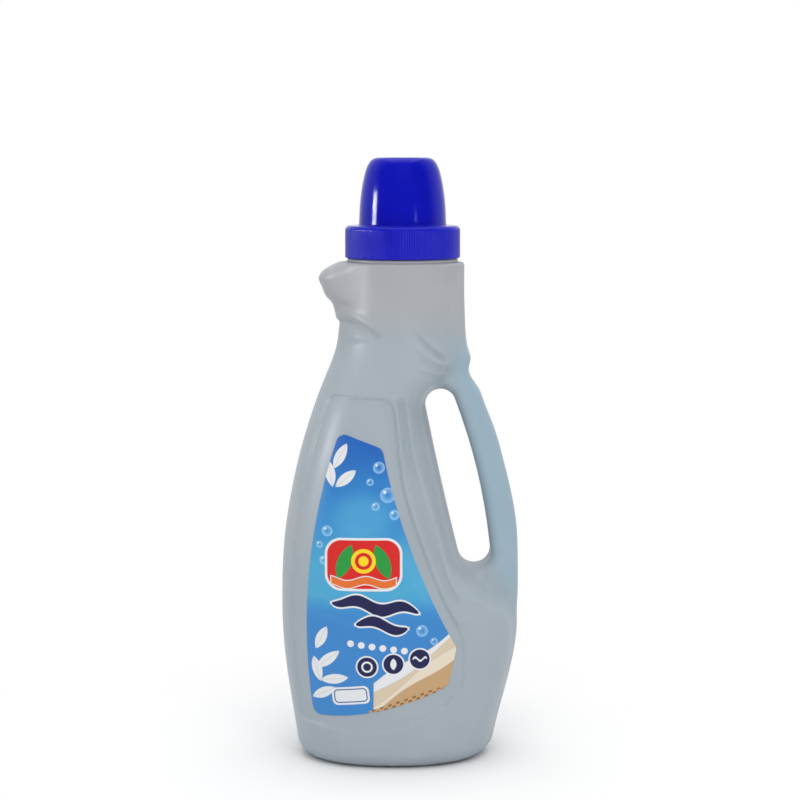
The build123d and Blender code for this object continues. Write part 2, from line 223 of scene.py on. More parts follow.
def bottle_form(x, y, z):
    """Distance from the blown body's outer surface, negative inside."""
    left, right = belly_left(z), belly_right(z)
    body = oval(x, y, left, right, belly_depth(z), belly_power(z))
    web = oval(x, y, (left + right) / 2, web_right(z), web_depth(z), WEB_POWER)
    beak = oval(x, y, beak_left(z), BEAK_RIGHT, beak_depth(z), BEAK_POWER)
    beak = beak + 60 * smoothstep(206, 198, z)
    form = soft_min(soft_min(body, web, JOIN), beak, JOIN)
    form = form - relief(x, z) * smoothstep(2.0, 12.0, np.abs(y))
    form = round_max(form, -slot_distance(x, z), SLOT_ROUNDING)
    form = round_max(form, -z, FOOT_ROUNDING)
    form = round_max(form, z - DECK, DECK_ROUNDING)
    push_up = PUSH_UP_HEIGHT * smoothstep(1.0, 0.72, np.hypot((x + 3) / 31, y / 19))
    return np.maximum(form, push_up - z)


def slope_of(field, p, h=0.04):
    """Gradient of a field at points p."""
    x, y, z = p.T
    return np.stack([
        field(x + h, y, z) - field(x - h, y, z),
        field(x, y + h, z) - field(x, y - h, z),
        field(x, y, z + h) - field(x, y, z - h),
    ], axis=1) / (2 * h)


def skin(field, low, high, step):
    """Quads over the zero surface of a field, with vertices moved exactly onto it."""
    axes = [np.arange(a, b + step, step) for a, b in zip(low, high)]
    values = field(axes[0][:, None, None], axes[1][None, :, None], axes[2][None, None, :])
    inside = values < 0
    count = np.zeros(tuple(n - 1 for n in inside.shape), int)
    for i in (0, 1):
        for j in (0, 1):
            for k in (0, 1):
                count += inside[i : i + count.shape[0], j : j + count.shape[1], k : k + count.shape[2]]
    cells = np.argwhere((count > 0) & (count < 8))
    index = np.full(count.shape, -1)
    index[tuple(cells.T)] = np.arange(len(cells))
    total, hits = np.zeros((len(cells), 3)), np.zeros(len(cells))
    unit = np.eye(3, dtype=int)
    for axis in range(3):
        b, c = unit[(axis + 1) % 3], unit[(axis + 2) % 3]
        for shift in (0 * b, b, c, b + c):
            start = cells + shift
            f0, f1 = values[tuple(start.T)], values[tuple((start + unit[axis]).T)]
            cross = (f0 < 0) != (f1 < 0)
            t = f0[cross] / (f0[cross] - f1[cross])
            total[cross] += start[cross] + t[:, None] * unit[axis]
            hits[cross] += 1
    points = total / hits[:, None] * step + np.array([a[0] for a in axes])
    quads = []
    for axis in range(3):
        b, c = unit[(axis + 1) % 3], unit[(axis + 2) % 3]
        first = np.take(inside, range(inside.shape[axis] - 1), axis)
        second = np.take(inside, range(1, inside.shape[axis]), axis)
        for flip, change in ((False, first & ~second), (True, ~first & second)):
            edges = np.argwhere(change)
            ok = np.all((edges + b + c > 0) | (unit[axis] > 0), axis=1)
            edges = edges[ok]
            ring = [edges - b - c, edges - c, edges, edges - b]
            face = np.stack([index[tuple(r.T)] for r in ring], axis=1)
            face = face[(face >= 0).all(axis=1)]
            quads.append(face[:, ::-1] if flip else face)
    for _ in range(4):
        gradient = slope_of(field, points)
        size = np.maximum((gradient**2).sum(axis=1), 0.05)
        step_back = field(*points.T) / size
        points = points - gradient * np.clip(step_back, -0.6, 0.6)[:, None]
    return points, np.concatenate(quads)


def unit_normals(field, points):
    n = slope_of(field, points)
    return n / np.maximum(np.linalg.norm(n, axis=1), 1e-9)[:, None]


# ------------------------------------------------------------------------------------ mesh helpers
def make_object(name, points, faces, normals):
    """A smooth-shaded mesh from points in millimetres, with one normal per point."""
    mesh = bpy.data.meshes.new(name)
    mesh.from_pydata((np.asarray(points) * MM).tolist(), [], [list(map(int, f)) for f in faces])
    mesh.polygons.foreach_set("use_smooth", [True] * len(mesh.polygons))
    mesh.update()
    mesh.normals_split_custom_set_from_vertices(np.asarray(normals, float).tolist())
    o = bpy.data.objects.new(name, mesh)
    bpy.context.scene.collection.objects.link(o)
    return o


def without_unused(points, faces, normals):
    """Drops points that no face uses."""
    used = np.unique(faces)
    new = np.full(len(points), -1)
    new[used] = np.arange(len(used))
    return points[used], new[faces], normals[used]


def joined(*parts):
    """Several (points, quads, normals) as one."""
    points, faces, normals, start = [], [], [], 0
    for p, f, n in parts:
        points.append(p)
        faces.append(np.asarray(f) + start)
        normals.append(n)
        start += len(p)
    return np.concatenate(points), np.concatenate(faces), np.concatenate(normals)


def lathe(profile, segments, shift=None):
    """Turns a profile of (radius, height) points round the neck's axis. The profile runs with the
    material on its left. shift(angle, radius, height), if given, moves each point outwards."""
    profile = np.array(profile, float)
    rows = len(profile)
    angle = np.arange(segments) * 2 * math.pi / segments
    r = np.repeat(profile[:, 0:1], segments, axis=1)
    z = np.repeat(profile[:, 1:2], segments, axis=1)
    a = np.repeat(angle[None, :], rows, axis=0)
    if shift is not None:
        r = r + shift(a, r, z)
    points = np.stack([NECK_X + r * np.cos(a), r * np.sin(a), z], axis=2).reshape(-1, 3)
    i = np.arange(rows)[:, None]
    j = np.arange(segments)[None, :]
    i1, j1 = (i + 1) % rows, (j + 1) % segments
    corners = i * segments + j, i * segments + j1, i1 * segments + j1, i1 * segments + j
    return points, np.stack(np.broadcast_arrays(*corners), axis=2).reshape(-1, 4)


def mesh_normals(points, quads):
    """One smooth normal per point."""
    p = points[quads]
    n = np.cross(p[:, 2] - p[:, 0], p[:, 3] - p[:, 1])
    total = np.zeros_like(points)
    for k in range(4):
        np.add.at(total, quads[:, k], n)
    return total / np.maximum(np.linalg.norm(total, axis=1), 1e-12)[:, None]


def rounded_profile(corners, spacing=0.6):
    """A profile through (radius, height, rounding) corners: each corner becomes an arc. It closes."""
    pts = np.array([c[:2] for c in corners], float)
    out = []
    n = len(corners)
    for i in range(n):
        p, before, after = pts[i], pts[i - 1], pts[(i + 1) % n]
        a, b = before - p, after - p
        la, lb = np.linalg.norm(a), np.linalg.norm(b)
        a, b = a / la, b / lb
        half = math.acos(np.clip(a @ b, -1, 1)) / 2
        radius = corners[i][2]
        if radius and half < 1.5:
            reach = min(radius / math.tan(half), 0.49 * la, 0.49 * lb)
            radius = reach * math.tan(half)
            centre = p + (a + b) / np.linalg.norm(a + b) * radius / math.sin(half)
            s, e = p + a * reach, p + b * reach
            for t in np.linspace(0, 1, 6):
                d = (s - centre) * (1 - t) + (e - centre) * t
                out.append(centre + d / np.linalg.norm(d) * radius)
        else:
            out.append(p)
    dense = []
    for i, p in enumerate(out):
        q = out[(i + 1) % len(out)]
        steps = max(1, int(np.linalg.norm(q - p) / spacing))
        dense += [p + (q - p) * k / steps for k in range(steps)]
    return dense


THREAD_PITCH, THREAD_START, THREAD_TURNS = 4.2, 236.3, 1.5
THREAD_ANGLE = math.radians(20)


def thread_height(angle, z, start):
    """Share of the thread ridge's height at an angle and a height above the base: 0 to 1."""
    best = np.zeros(np.broadcast(angle, z).shape)
    for turn in range(-1, 3):
        run = (angle - start) / (2 * math.pi) + turn
        off = np.abs(z - THREAD_START - THREAD_PITCH * run)
        ends = smoothstep(0, 0.07, run) * smoothstep(THREAD_TURNS, THREAD_TURNS - 0.07, run)
        best = np.maximum(best, (1 - smoothstep(0.35, 0.95, off)) * ends)
    return best


# ------------------------------------------------------------------------------------ shader helpers
class Value:
    """A number in a node tree. Sums written with it become Math nodes."""

    def __init__(self, tree, socket):
        self.tree, self.socket = tree, socket

    def op(self, operation, *others):
        node = self.tree.nodes.new("ShaderNodeMath")
        node.operation = operation
        for i, v in enumerate((self, *others)):
            if isinstance(v, Value):
                self.tree.links.new(v.socket, node.inputs[i])
            else:
                node.inputs[i].default_value = float(v)
        return Value(self.tree, node.outputs[0])

    def __add__(self, other):
        return self.op("ADD", other)

    def __sub__(self, other):
        return self.op("SUBTRACT", other)

    def __rsub__(self, other):
        return (self * -1) + other

    def __mul__(self, other):
        return self.op("MULTIPLY", other)

    def __truediv__(self, other):
        return self.op("DIVIDE", other)

    def __abs__(self):
        return self.op("ABSOLUTE")

    def __pow__(self, other):
        return self.op("POWER", other)

    __radd__, __rmul__ = __add__, __mul__

    def most(self, other):
        return self.op("MAXIMUM", other)

    def between(self, low, high):
        """0 below low, 1 above high (or the other way round), smooth in between."""
        node = self.tree.nodes.new("ShaderNodeMapRange")
        node.interpolation_type = "SMOOTHSTEP"
        self.tree.links.new(self.socket, node.inputs["Value"])
        node.inputs["From Min"].default_value = min(low, high)
        node.inputs["From Max"].default_value = max(low, high)
        node.inputs["To Min"].default_value = 0.0 if low < high else 1.0
        node.inputs["To Max"].default_value = 1.0 if low < high else 0.0
        return Value(self.tree, node.outputs["Result"])

    def filled(self, soft=0.16):
        """1 where a signed distance is negative, with a soft edge."""
        return self.between(soft, -soft)


class Look:
    """A Principled material with object coordinates in millimetres as x, y and z."""

    def __init__(self, name, roughness=0.4, **fixed):
        self.material = bpy.data.materials.new(name)
        self.material.use_nodes = True
        self.tree = self.material.node_tree
        self.shader = self.tree.nodes["Principled BSDF"]
        self.set("Roughness", roughness)
        for socket, value in fixed.items():
            self.set(socket.replace("_", " "), value)
        self.place = self.tree.nodes.new("ShaderNodeTexCoord").outputs["Object"]
        split = self.tree.nodes.new("ShaderNodeSeparateXYZ")
        self.tree.links.new(self.place, split.inputs[0])
        self.x, self.y, self.z = (Value(self.tree, s) * 1000 for s in split.outputs)

    def set(self, socket, value):
        target = self.shader.inputs[socket]
        if isinstance(value, Value):
            self.tree.links.new(value.socket, target)
        elif isinstance(value, tuple) and len(value) == 3 and target.type == "RGBA":
            target.default_value = (*value, 1)
        else:
            target.default_value = value

    def noise(self, size, detail=2.0, stretch=(1, 1, 1), roughness=0.5):
        """Cloudy noise from 0 to 1, with blotches of about size millimetres."""
        scale = self.tree.nodes.new("ShaderNodeVectorMath")
        scale.operation = "MULTIPLY"
        scale.inputs[1].default_value = [1000 / size / s for s in stretch]
        self.tree.links.new(self.place, scale.inputs[0])
        node = self.tree.nodes.new("ShaderNodeTexNoise")
        node.inputs["Scale"].default_value = 1.0
        node.inputs["Detail"].default_value = detail
        node.inputs["Roughness"].default_value = roughness
        self.tree.links.new(scale.outputs[0], node.inputs["Vector"])
        return Value(self.tree, node.outputs["Fac"])

    def cells(self, size):
        """Distance to the nearest of scattered points about size millimetres apart, in millimetres."""
        scale = self.tree.nodes.new("ShaderNodeVectorMath")
        scale.operation = "SCALE"
        scale.inputs["Scale"].default_value = 1000 / size
        self.tree.links.new(self.place, scale.inputs[0])
        node = self.tree.nodes.new("ShaderNodeTexVoronoi")
        node.inputs["Scale"].default_value = 1.0
        self.tree.links.new(scale.outputs[0], node.inputs["Vector"])
        return Value(self.tree, node.outputs["Distance"]) * size

    def mix(self, first, second, share):
        """A colour between first and second; both are (r, g, b) or the result of another mix."""
        node = self.tree.nodes.new("ShaderNodeMix")
        node.data_type = "RGBA"
        for socket, colour in ((node.inputs[6], first), (node.inputs[7], second)):
            if isinstance(colour, tuple):
                socket.default_value = (*colour, 1)
            else:
                self.tree.links.new(colour, socket)
        self.tree.links.new(share.socket, node.inputs[0])
        return node.outputs[2]

    def colour(self, colour):
        self.tree.links.new(colour, self.shader.inputs["Base Color"])

    def bump(self, height, distance=0.1, strength=1.0):
        """Bumps from a height of 0 to 1, distance millimetres high."""
        node = self.tree.nodes.new("ShaderNodeBump")
        node.inputs["Distance"].default_value = distance * MM
        node.inputs["Strength"].default_value = strength
        self.tree.links.new(height.socket, node.inputs["Height"])
        self.tree.links.new(node.outputs["Normal"], self.shader.inputs["Normal"])


def srgb(r, g, b):
    """A colour written as 0-255 values, as the linear numbers that a shader takes."""
    shares = (r / 255, g / 255, b / 255)
    return tuple(c / 12.92 if c <= 0.04045 else ((c + 0.055) / 1.055) ** 2.4 for c in shares)


# ------------------------------------------------------------------------------------ bottle
MOUTH_RADIUS = 22.0          # inside it the deck is open; its edge lies under the neck


def without_mouth(points, faces, normals, height):
    """The skin with the part of its deck that the neck stands on taken away."""
    radius = np.hypot(points[:, 0] - NECK_X, points[:, 1])
    drop = (points[:, 2] > height) & (radius < MOUTH_RADIUS)
    return without_unused(points, faces[~drop[faces].any(axis=1)], normals)


def inner_form(x, y, z):
    return bottle_form(x, y, z) + WALL


outer_points, outer_faces = skin(bottle_form, (-59, -43.2, -1.7), (58, 43.2, 234.5), OUTER_STEP)
outer = without_mouth(outer_points, outer_faces, unit_normals(bottle_form, outer_points), DECK - 0.4)
inner_points, inner_faces = skin(inner_form, (-58, -42, -1.6), (58, 42, 234.5), INNER_STEP)
inner_normals = -unit_normals(bottle_form, inner_points)
inner = without_mouth(inner_points, inner_faces[:, ::-1], inner_normals, DECK - WALL - 0.4)

# Radius, height and rounding of the neck's corners: bore, foot, bead, threaded wall and mouth.
neck_corners = [(21.0, 230.3, 0.3), (24.6, 230.3, 0.3), (24.6, 231.8, 0), (25.6, 231.8, 0),
                (25.6, 233.7, 0.7), (22.9, 233.7, 0.3), (22.8, 244.9, 0.5), (21.0, 244.9, 0.3)]


def neck_thread(angle, radius, height):
    threaded = (radius > 22) & (height > 234)
    return np.where(threaded, 1.25 * thread_height(angle, height, THREAD_ANGLE), 0)


neck_points, neck_faces = lathe(rounded_profile(neck_corners, 0.42), 144, shift=neck_thread)
neck = neck_points, neck_faces, mesh_normals(neck_points, neck_faces)
bottle = make_object("bottle_shell", *joined(outer, inner, neck))

# ------------------------------------------------------------------------------------ labels
LABEL_CORNER = 4.0
LABEL_FRONT, LABEL_BACK = 0.22, 0.03     # how far a label's two faces stand off from the panel


def arc_through(p, q, r, pieces=8):
    """Points of the arc from p through q to r, without r."""
    (ax, ay), (bx, by), (cx, cy) = p, q, r
    d = 2 * (ax * (by - cy) + bx * (cy - ay) + cx * (ay - by))
    a2, b2, c2 = ax * ax + ay * ay, bx * bx + by * by, cx * cx + cy * cy
    ox = (a2 * (by - cy) + b2 * (cy - ay) + c2 * (ay - by)) / d
    oy = (a2 * (cx - bx) + b2 * (ax - cx) + c2 * (bx - ax)) / d
    start, end = math.atan2(ay - oy, ax - ox), math.atan2(cy - oy, cx - ox)
    turn = (end - start + math.pi) % (2 * math.pi) - math.pi
    radius = math.hypot(ax - ox, ay - oy)
    angles = [start + turn * i / pieces for i in range(pieces)]
    return [(ox + radius * math.cos(a), oy + radius * math.sin(a)) for a in angles]


def label_outline():
    """The label's outline: an arc on the left, one along the bottom and one at the waist."""
    top_left, left, bottom_left, bottom = (-27.4, 156.8), (-42.2, 84.0), (-39.8, 24.6), (-9.0, 28.8)
    bottom_right, right, waist, top_right = (22.0, 40.2), (25.8, 58.0), (7.2, 97.0), (-8.0, 149.4)
    points = arc_through(top_left, left, bottom_left, 12)
    points += arc_through(bottom_left, bottom, bottom_right) + [bottom_right]
    points += arc_through(right, waist, top_right) + [top_right]
    sharp = [0, 12, 20, 21, len(points) - 1]
    rounded = [(x, z, LABEL_CORNER if i in sharp else 0.0) for i, (x, z) in enumerate(points)]
    return [tuple(p) for p in rounded_profile(rounded, 1.6)]


def on_front(x, z, stand_off):
    """The points in front of (x, z) that stand off from the bottle's front by stand_off."""
    y = np.full_like(x, -36.0)
    for _ in range(12):
        f = bottle_form(x, y, z) - stand_off
        slope = (bottle_form(x, y + 0.05, z) - bottle_form(x, y - 0.05, z)) / 0.1
        y = y - np.clip(f / np.where(np.abs(slope) < 0.2, -0.2, slope), -3, 3)
    return np.stack([x, y, z], axis=1)


def label_sheet(name, side):
    """A thin closed sheet on the front (side -1) or the back (side 1) panel."""
    edge = label_outline()
    n = len(edge)
    gx, gz = np.meshgrid(np.arange(-44, 30, 2.2), np.arange(22, 160, 2.2))
    near = outline_distance(gx, gz, edge)
    grid = np.stack([gx[near < -1.0], gz[near < -1.0]], axis=1)
    flat = [Vector(p) for p in edge] + [Vector(p) for p in grid.tolist()]
    verts, _, tris, *_ = delaunay_2d_cdt(flat, [], [list(range(n))], 1, 1e-5)
    x, z = np.array([v[:] for v in verts]).T
    front, back = on_front(x, z, LABEL_FRONT), on_front(x, z, LABEL_BACK)
    normals = unit_normals(bottle_form, front)
    count = len(x)
    tris = np.array([list(t) for t in tris])
    area = (x[tris[:, 1]] - x[tris[:, 0]]) * (z[tris[:, 2]] - z[tris[:, 0]])
    area -= (x[tris[:, 2]] - x[tris[:, 0]]) * (z[tris[:, 1]] - z[tris[:, 0]])
    tris[area < 0] = tris[area < 0][:, ::-1]
    faces = [list(t) for t in tris] + [[i + count for i in t[::-1]] for t in tris]
    borders = {}
    for t in tris.tolist():
        for i in range(3):
            key = (t[i], t[(i + 1) % 3])
            if key[::-1] in borders:
                del borders[key[::-1]]
            else:
                borders[key] = True
    faces += [[j, i, i + count, j + count] for i, j in borders]
    points = np.concatenate([front, back])
    normals = np.concatenate([normals, -normals])
    if side > 0:
        points, normals = points * (1, -1, 1), normals * (1, -1, 1)
        faces = [f[::-1] for f in faces]
    return make_object(name, points, faces, normals)


front_label = label_sheet("front_print", -1)
back_label = label_sheet("back_print", 1)

# ------------------------------------------------------------------------------------ detergent
def liquid_form(x, y, z):
    return round_max(bottle_form(x, y, z) + WALL + FILL_GAP, z - FILL_HEIGHT, 0.8)


liquid_points, liquid_faces = skin(liquid_form, (-58, -42, -1.6), (58, 42, 208.5), FILL_STEP)
liquid_normals = unit_normals(liquid_form, liquid_points)
liquid = make_object("detergent_fill", liquid_points, liquid_faces, liquid_normals)

# ------------------------------------------------------------------------------------ cap
RIBS = 144
SEGMENTS = 4 * RIBS
CUP_WALL = 1.5
cup_radius = spline((246.5, 20.42), (250.1, 20.2), (257.4, 19.85), (262.9, 19.3), (268.5, 18.4),
                    (272.1, 17.6), (274, 17.1))


def cup_side(inset, bottom, top, steps):
    """The cup's side from bottom to top, moved in by inset."""
    return [(float(cup_radius(z)) - inset, z) for z in np.linspace(bottom, top, steps)]


def cup_turn(inset):
    """The rounding from the cup's side to its flat top, from the side upwards."""
    points = [(17.1, 274.0), (16.4, 275.8), (15.5, 277.5), (14.45, 278.75), (13.2, 279.55),
              (11.6, 279.93), (10, 280)]
    path = np.array(curved(points, 3)[1:])
    along = np.gradient(path, axis=0)
    outward = np.stack([along[:, 1], -along[:, 0]], axis=1) / np.linalg.norm(along, axis=1)[:, None]
    return [tuple(p) for p in path - outward * inset]


def corner_arc(centre, radius, start, end, steps=5):
    """Points of a rounding, from one angle in degrees to another."""
    angles = np.radians(np.linspace(start, end, steps))
    return [(centre[0] + radius * math.cos(a), centre[1] + radius * math.sin(a)) for a in angles]


outside = corner_arc((26.1, 234.4), 0.5, -90, 0) + [(26.6, z) for z in (235.4, 238, 241, 244)]
outside += corner_arc((24.4, 246.6), 2.2, 0, 90, 8) + corner_arc((20.85, 249.3), 0.5, 270, 188, 5)
outside += cup_side(0, 249.6, 274, 18) + cup_turn(0) + [(6, 280.0), (0, 280.0)]
inside = [(0, 278.5), (6, 278.5)] + cup_turn(CUP_WALL)[::-1]
inside += cup_side(CUP_WALL, 247.4, 273.9, 15)[::-1]
inside += corner_arc((18.7, 246.9), 0.4, 90, 180, 4) + [(18.3, z) for z in (244.5, 241.5)]
inside += corner_arc((18.9, 239.1), 0.6, 180, 270, 5) + corner_arc((18.9, 239.1), 0.6, 270, 360, 5)[1:]
inside += [(19.5, 242.5)] + corner_arc((19.9, 246.5), 0.4, 180, 90, 4) + [(22, 246.9)]
inside += corner_arc((24.4, 246.5), 0.4, 90, 0, 4) + [(24.8, z) for z in np.arange(245.8, 234.9, -0.36)]
inside += corner_arc((25.2, 234.3), 0.4, 180, 270, 4)


def cap_details(angle, radius, height):
    """Grooves between the ribs round the skirt, and the thread inside it."""
    outer_side = (radius > 26.05) & (height < 248.2)
    groove = -0.24 * np.maximum(-np.cos(angle * RIBS), 0)
    groove = groove * smoothstep(247.6, 246.2, height) * smoothstep(233.9, 234.6, height)
    inner_side = (radius > 24.5) & (radius < 25.0) & (height < 245.9)
    thread = -1.5 * thread_height(angle, height, THREAD_ANGLE - math.pi)
    return np.where(outer_side, groove, 0) + np.where(inner_side, thread, 0)


cap_points, cap_faces = lathe(outside + inside, SEGMENTS, shift=cap_details)
cap = make_object("dosing_cap", cap_points, cap_faces, mesh_normals(cap_points, cap_faces))

# ------------------------------------------------------------------------------------ plastics
GREY, BLUISH, HANDLE_BLUE = srgb(168, 171, 175), srgb(163, 174, 182), srgb(152, 176, 190)

body_look = Look("bottle_polyethylene", 0.4, IOR=1.5, Specular_IOR_Level=0.2, Subsurface_Weight=0.06,
                 Subsurface_Scale=0.002)
body_look.set("Subsurface Radius", (1.0, 1.0, 1.0))
b = body_look
# The blue detergent tints the wall below its level, and the handle most.
wet = b.z.between(214, 192)
on_handle = (b.x - (62 - b.z * 0.21)).between(-5, 8) * b.z.between(60, 95) * b.z.between(205, 180)
cloud = b.noise(38, 3)
tint = b.mix(GREY, BLUISH, wet)
tint = b.mix(tint, HANDLE_BLUE, on_handle)
tint = b.mix(tint, srgb(186, 190, 193), (cloud - 0.5).between(0.0, 0.3) * 0.35)
# Painted shade: the wall turns darker grey-blue in its lowest 9 mm, towards the floor.
tint = b.mix(tint, srgb(140, 150, 158), b.z.between(9, 0) * 0.25)
scuffs = b.noise(2.2, 4, (1, 1, 7), 0.65).between(0.66, 0.78)
b.colour(b.mix(tint, srgb(196, 200, 203), scuffs * 0.12))
b.set("Roughness", b.noise(14, 4) * 0.14 + 0.32 + scuffs * 0.12)
parting = abs(b.y).between(0.42, 0.1) * b.z.between(3, 7) * b.z.between(231.5, 229)
grain = b.noise(0.55, 2) * 0.12 + b.noise(6, 3) * 0.5
b.bump(grain + parting * 2.2, 0.045)
bottle.data.materials.append(b.material)

CAP_BLUE = srgb(13, 18, 176)
cap_look = Look("cap_polypropylene", 0.2, IOR=1.49, Specular_IOR_Level=0.16)
c = cap_look
worn = c.noise(1.6, 4, (1, 1, 5), 0.6).between(0.68, 0.8)
skirt = c.z.between(248.4, 247.4)
cap_tint = c.mix(CAP_BLUE, srgb(24, 28, 184), skirt)
cap_tint = c.mix(cap_tint, srgb(9, 13, 165), c.noise(16, 2).between(0.45, 0.7) * 0.6)
c.colour(c.mix(cap_tint, srgb(60, 66, 205), worn * 0.18))
c.set("Roughness", c.noise(9, 4) * 0.08 + 0.08 + worn * 0.2 + skirt * 0.1)
flow = c.noise(11, 2, (0.5, 0.5, 3.5))
c.bump(flow + c.noise(0.5, 2) * 0.04, 0.04)
cap.data.materials.append(c.material)

spout_look = Look("spout_polyethylene", 0.35, IOR=1.51, Subsurface_Weight=0.15, Subsurface_Scale=0.002)
s = spout_look
s.colour(s.mix(srgb(226, 230, 232), srgb(205, 214, 222), s.noise(12, 3)))
s.set("Roughness", s.noise(5, 3) * 0.16 + 0.26)
s.bump(s.noise(0.5, 2) * 0.3 + s.noise(5, 2), 0.03)

foam_look = Look("liner_foam", 0.75, Specular_IOR_Level=0.3)
f = foam_look
pores = f.cells(0.45)
f.colour(f.mix(srgb(216, 216, 210), srgb(238, 238, 234), pores.between(0.05, 0.3)))
f.set("Roughness", f.noise(2, 2) * 0.2 + 0.62)
f.bump(pores.between(0.0, 0.3), 0.08)

liquid_look = Look("detergent_blue", 0.06, IOR=1.36, Transmission_Weight=0.35)
q = liquid_look
q.colour(q.mix(srgb(38, 92, 205), srgb(60, 128, 225), q.noise(30, 3)))
q.set("Roughness", q.noise(20, 2) * 0.05 + 0.03)
q.bump(q.noise(9, 1), 0.03)
liquid.data.materials.append(q.material)

for node, look in (("pour_spout", spout_look), ("cap_liner", foam_look)):
    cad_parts[node].data.materials.clear()
    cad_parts[node].data.materials.append(look.material)


# ------------------------------------------------------------------------------------ printed labels
class Print(Look):
    """A label's film, with shapes drawn on it in millimetres."""

    def at(self, x, z, turn=0.0):
        """Coordinates about a point, turned by an angle in degrees."""
        u, v = self.x - x, self.z - z
        if not turn:
            return u, v
        c, s = math.cos(math.radians(turn)), math.sin(math.radians(turn))
        return u * c + v * s, v * c - u * s

    def disc(self, x, z, radius):
        u, v = self.at(x, z)
        return (u * u + v * v) ** 0.5 - radius

    def ellipse(self, x, z, width, height, turn=0.0):
        u, v = self.at(x, z, turn)
        u, v = u / width, v / height
        return ((u * u + v * v) ** 0.5 - 1) * min(width, height)

    def bar(self, x, z, half_width, half_height, corner, turn=0.0):
        u, v = self.at(x, z, turn)
        u = (abs(u) - (half_width - corner)).most(0)
        v = (abs(v) - (half_height - corner)).most(0)
        return (u * u + v * v) ** 0.5 - corner

    def leaf(self, x, z, length, width, turn):
        """A pointed leaf: the overlap of two discs."""
        radius = (length * length + width * width) / (4 * width)
        u, v = self.at(x, z, turn)
        side = abs(v) + (radius - width / 2)
        return (u * u + side * side) ** 0.5 - radius

    def wave(self, height, slope, swing, length, phase=0.0):
        """Height of a point above a wavy line."""
        line = (self.x * (2 * math.pi / length) + phase).op("SINE") * swing
        return self.z - self.x * slope - line - height

    def paint(self, under, colour, distance, soft=0.16, share=1.0):
        """The colour wherever a signed distance is negative, over what is there."""
        mask = distance.filled(soft)
        return self.mix(under, colour, mask * share if share != 1.0 else mask)


def bubble(p, under, x, z, radius):
    """A soap bubble: a pale rim, a faint body and a small bright spot."""
    d = p.disc(x, z, radius)
    under = p.mix(under, srgb(150, 205, 245), d.filled(0.4) * (d + radius).between(0, radius) * 0.55)
    under = p.mix(under, srgb(225, 242, 255), abs(d + 0.25).filled(0.5) * 0.55)
    spot = p.disc(x - radius * 0.4, z + radius * 0.42, radius * 0.2)
    return p.paint(under, srgb(240, 250, 255), spot, 0.4, 0.9)


def print_background(p):
    """Deep blue at the top, bright sky blue in the middle and a wavy mid blue below."""
    cloud = p.noise(26, 3)
    sky = p.mix(srgb(36, 98, 184), srgb(54, 140, 204), (p.z + cloud * 26 - 13).between(160, 112))
    sky = p.mix(sky, srgb(74, 166, 208), (p.z + cloud * 14 - 7).between(116, 96) * p.z.between(70, 84))
    sky = p.mix(sky, srgb(58, 132, 200), (p.z + cloud * 12 - 6).between(84, 66))
    sky = p.mix(sky, srgb(96, 180, 216), p.ellipse(-17, 118, 12, 10).filled(5) * 0.4)
    band = p.wave(84, 0.12, 3.4, 60)
    sky = p.mix(sky, srgb(96, 178, 216), abs(band).filled(2.4) * 0.45)
    return p.mix(sky, srgb(76, 152, 210), abs(band + 9).filled(3.0) * 0.4)


def film_finish(p, colour):
    """The print's colour and the film's uneven gloss."""
    p.colour(colour)
    p.set("Roughness", p.noise(7, 3) * 0.1 + 0.3)
    p.bump(p.noise(5, 3) * 0.6 + p.noise(0.6, 2) * 0.08, 0.03)


NAVY, WHITE, RED = srgb(24, 26, 78), srgb(226, 228, 230), srgb(214, 32, 30)
YELLOW, GREEN, ORANGE = srgb(246, 214, 30), srgb(40, 150, 62), srgb(226, 112, 44)
CREAM, TAN, BROWN = srgb(214, 198, 172), srgb(196, 160, 116), srgb(138, 96, 62)
PLATE, LINE_BLUE = srgb(222, 230, 238), srgb(86, 118, 178)

front_look = Print("front_label_print", 0.32, IOR=1.49, Specular_IOR_Level=0.3)
p = front_look
ink = print_background(p)
for x, z, radius in ((-9.5, 141, 2.6), (-13.5, 134.5, 1.6), (-5.5, 128.5, 3.4), (-11, 123.5, 1.8),
                     (-2.5, 119.5, 2.2), (-33, 112, 2.4), (-36.5, 105.5, 1.5), (-34.5, 98.5, 2.0),
                     (10, 66.5, 2.6), (15.5, 61.5, 1.6)):
    ink = bubble(p, ink, x, z, radius)
# Folded cloths in the lower right corner, drawn as rolling bands over a woven band.
for height, colour in ((51.5, WHITE), (47.0, CREAM), (42.5, srgb(228, 216, 196)), (38.0, TAN)):
    fold = (p.wave(height, 0.10, 1.5, 44, 1.1 + height) + (3 - p.x) * 0.62).most(-12 - p.x)
    ink = p.paint(ink, colour, fold)
    ink = p.mix(ink, srgb(150, 128, 104), abs(fold).filled(0.9) * 0.35)
weave = (p.x * 1.7).op("SINE") * ((p.z + p.x * -0.35) * 2.6).op("SINE")
basket = p.wave(33.6, 0.30, 0.8, 60, 0.4).most(-14 - p.x)
ink = p.paint(ink, TAN, basket)
ink = p.mix(ink, BROWN, basket.filled() * weave.between(-0.1, 0.5))
# White leaf sprays on the left.
for x, z, length, turn in ((-27, 146, 13, 62), (-31.5, 138, 12, 100), (-24.5, 136, 12, 40),
                           (-36, 62, 12, 65), (-33, 52, 14, 40), (-38, 47, 12, 105),
                           (-30, 43, 13, 10), (-35, 36, 12, 30)):
    blade = p.leaf(x, z, length, 4.6, turn)
    ink = p.paint(ink, WHITE, blade)
    across = p.at(x, z, turn)[1]
    ink = p.mix(ink, srgb(168, 176, 182), blade.filled() * abs(across).filled(0.5) * 0.7)
